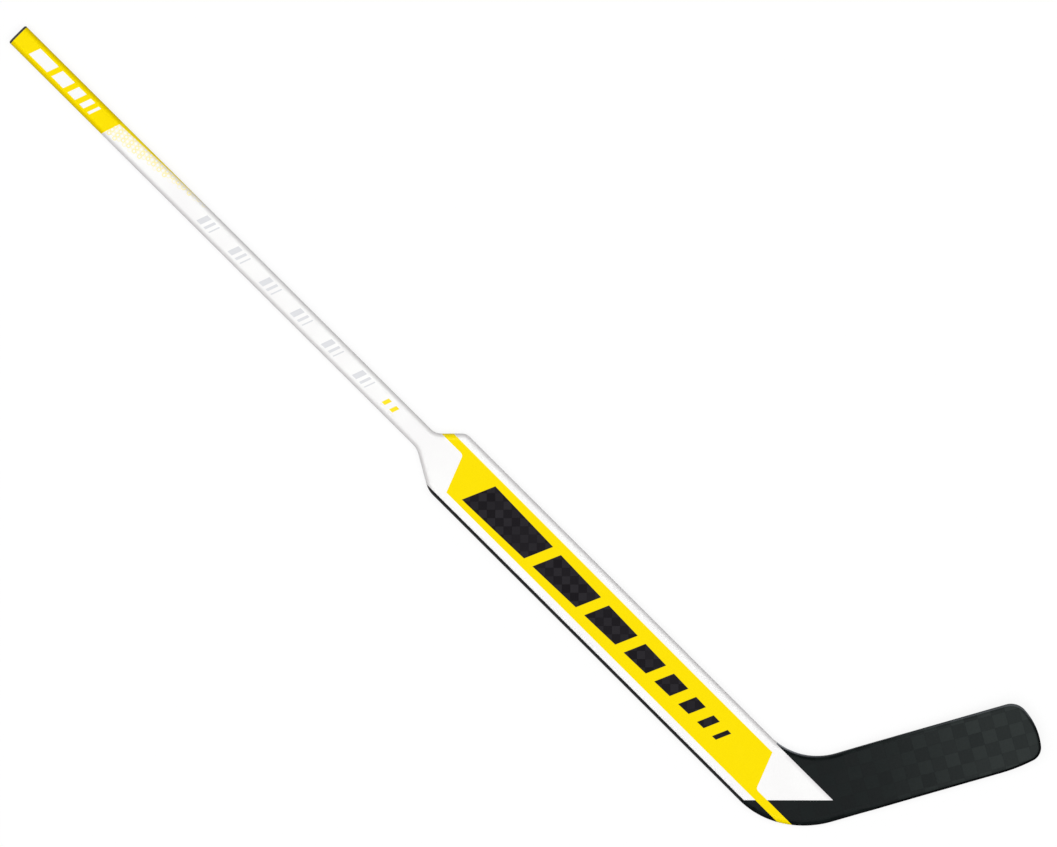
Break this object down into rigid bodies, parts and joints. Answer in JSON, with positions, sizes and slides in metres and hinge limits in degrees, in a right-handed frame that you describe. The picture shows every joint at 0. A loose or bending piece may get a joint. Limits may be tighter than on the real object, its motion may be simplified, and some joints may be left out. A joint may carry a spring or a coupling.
{
  "type": "hockey goalie stick",
  "caption": "Ice-hockey goalie stick with a hollow shaft, a wide paddle and a thin curved blade. A pull-out plug closes the butt.",
  "frame": {"origin": "on the shaft's centre line at the top of the paddle, on the flat back", "axes": "+X down the shaft from the butt to the heel, +Y to the toe side, +Z out of the front face"},
  "size_m": [1.6313, 0.3512, 0.027],
  "materials": {
    "plug_rubber": "matte",
    "white_paint": "gloss",
    "yellow_film": "gloss",
    "black_paint": "gloss",
    "blade_carbon": "satin",
    "bare_laminate": "matte",
    "foam": "matte",
    "dense_core": "matte"
  },
  "bodies": {
    "stick": {"shaft_tube": "white_paint", "butt_band_film": "yellow_film", "paddle_spar": "bare_laminate", "paddle_front_shell": "white_paint", "paddle_back_shell": "white_paint", "paddle_upper_rail": "white_paint", "paddle_lower_rail": "black_paint", "paddle_core_upper": "foam", "paddle_core_lower": "foam", "paddle_front_film": "yellow_film", "paddle_back_film": "yellow_film", "blade_tenon": "bare_laminate", "heel_block": "dense_core", "blade_front_skin": "blade_carbon", "blade_back_skin": "blade_carbon", "blade_edge_band": "blade_carbon", "blade_bridge": "bare_laminate", "blade_core_upper": "foam", "blade_core_lower": "foam", "heel_stripe_front": "yellow_film", "heel_stripe_back": "yellow_film"},
    "plug": {"end_plug": "plug_rubber"}
  },
  "joints": [
    {"name": "plug_pull", "type": "slide", "parent": "stick", "child": "plug", "axis": [-1, 0, 0], "range_m": [0, 0.05]}
  ]
}
